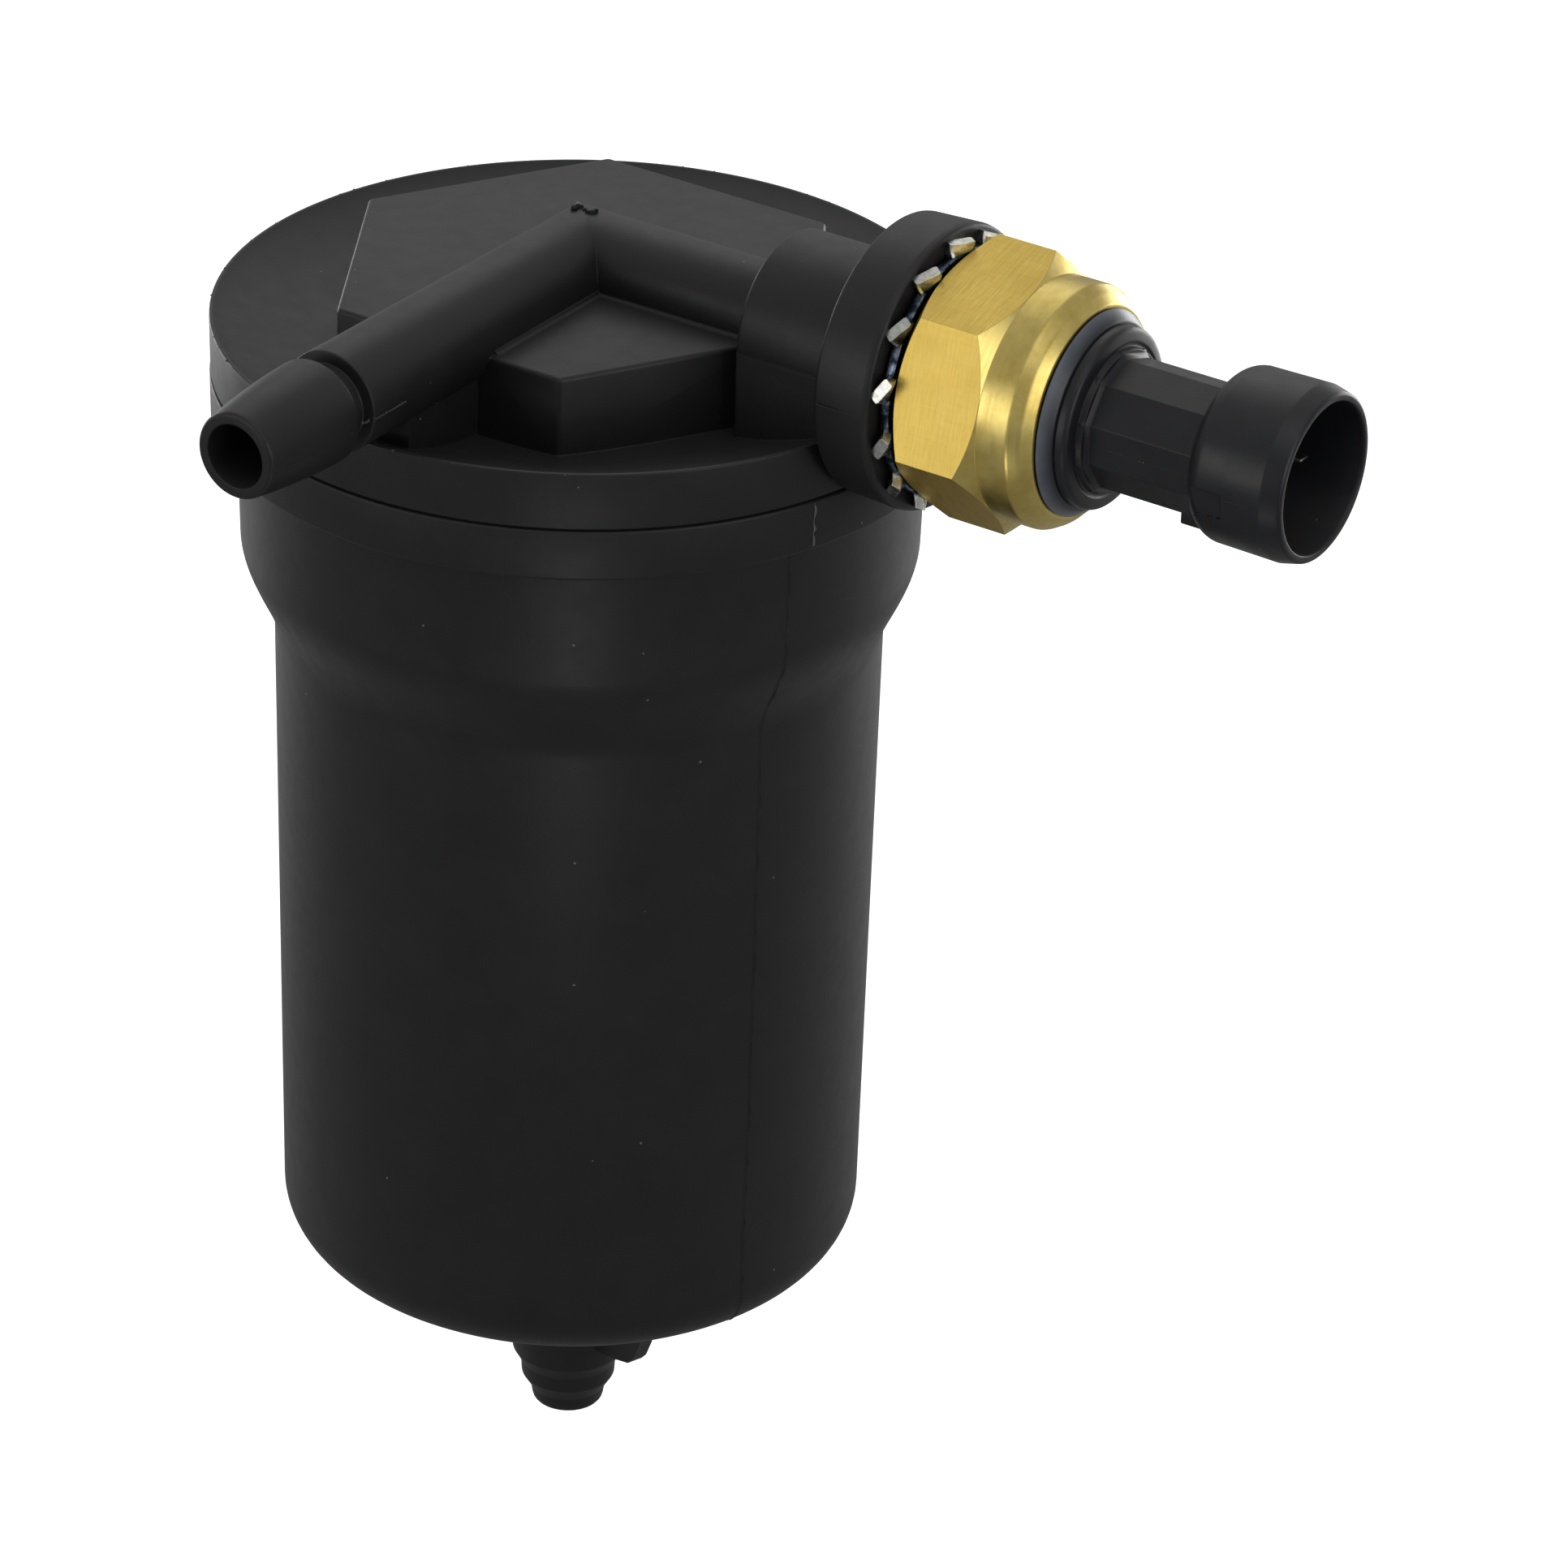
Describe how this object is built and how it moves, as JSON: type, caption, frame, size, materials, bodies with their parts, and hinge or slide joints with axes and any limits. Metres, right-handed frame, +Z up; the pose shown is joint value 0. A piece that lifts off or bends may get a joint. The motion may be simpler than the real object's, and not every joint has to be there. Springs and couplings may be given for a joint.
{
  "type": "magnetic system filter",
  "caption": "Black moulded canister filter with a screw lid, mitred hose nozzle, magnet core in a strainer basket, and a brass pressure sensor with a round socket.",
  "frame": {"origin": "on the canister's axis, in the plane of the underside of the collar at the canister's mouth", "axes": "+Z up along the canister's axis, out of the lid; +X along the sensor's axis, out of its connector; -Y the way the hose nozzle points"},
  "size_m": [0.1342, 0.1034, 0.1639],
  "materials": {
    "nylon": "satin moulded black nylon",
    "connector": "fine matt black moulding",
    "rubber": "smooth black rubber",
    "grey_rubber": "smooth grey rubber",
    "brass": "brushed flats, polished collar",
    "zinc": "bright zinc plate",
    "stainless": "drawn stainless steel",
    "mesh": "woven stainless wire",
    "nickel": "nickel plate",
    "steel": "ground mild steel",
    "acetal": "natural white acetal",
    "tin": "tin plate",
    "ceramic": "unglazed alumina",
    "board": "green lacquered board"
  },
  "bodies": {
    "canister": {"bowl": "nylon"},
    "gasket": {"lid_seal": "rubber"},
    "basket": {"strainer_flange": "acetal", "strainer_cage": "acetal", "strainer_cap": "acetal", "strainer_screen": "mesh", "strainer_seal": "rubber"},
    "lid_and_core": {"lid": "nylon", "sleeve_plug": "acetal", "plug_seal": "rubber", "magnet_sleeve": "stainless", "magnet_1": "nickel", "magnet_2": "nickel", "magnet_3": "nickel", "magnet_4": "nickel", "pole_disc_1": "steel", "pole_disc_2": "steel", "pole_disc_3": "steel"},
    "sensor_ring": {"sensor_seal": "rubber"},
    "sensor": {"sensor_body": "brass", "lock_washer": "zinc", "cell_seal": "rubber", "pressure_cell": "ceramic", "sensor_board": "board", "housing_seal": "grey_rubber", "connector_housing": "connector", "terminal_1": "tin", "terminal_2": "tin", "terminal_3": "tin"}
  },
  "joints": [
    {"name": "lid_turn", "type": "hinge", "parent": "canister", "child": "gasket", "pos_m": [0, 0, 0], "axis": [0, 0, 1], "range_deg": [0, 1080]},
    {"name": "lid_rise", "type": "slide", "parent": "gasket", "child": "basket", "axis": [0, 0, 1], "range_m": [0, 0.01201]},
    {"name": "lid_lift", "type": "slide", "parent": "basket", "child": "lid_and_core", "axis": [0, 0, 1], "range_m": [0, 0.105]},
    {"name": "sensor_turn", "type": "hinge", "parent": "lid_and_core", "child": "sensor_ring", "pos_m": [0, 0, 0.019], "axis": [1, 0, 0], "range_deg": [0, 2160]},
    {"name": "sensor_draw", "type": "slide", "parent": "sensor_ring", "child": "sensor", "axis": [1, 0, 0], "range_m": [0, 0.00803]}
  ],
  "couplings": [
    {"joint": "lid_rise", "follows": "lid_turn", "m_per_rad": 0.00063662},
    {"joint": "sensor_draw", "follows": "sensor_turn", "m_per_rad": 0.00021279}
  ]
}
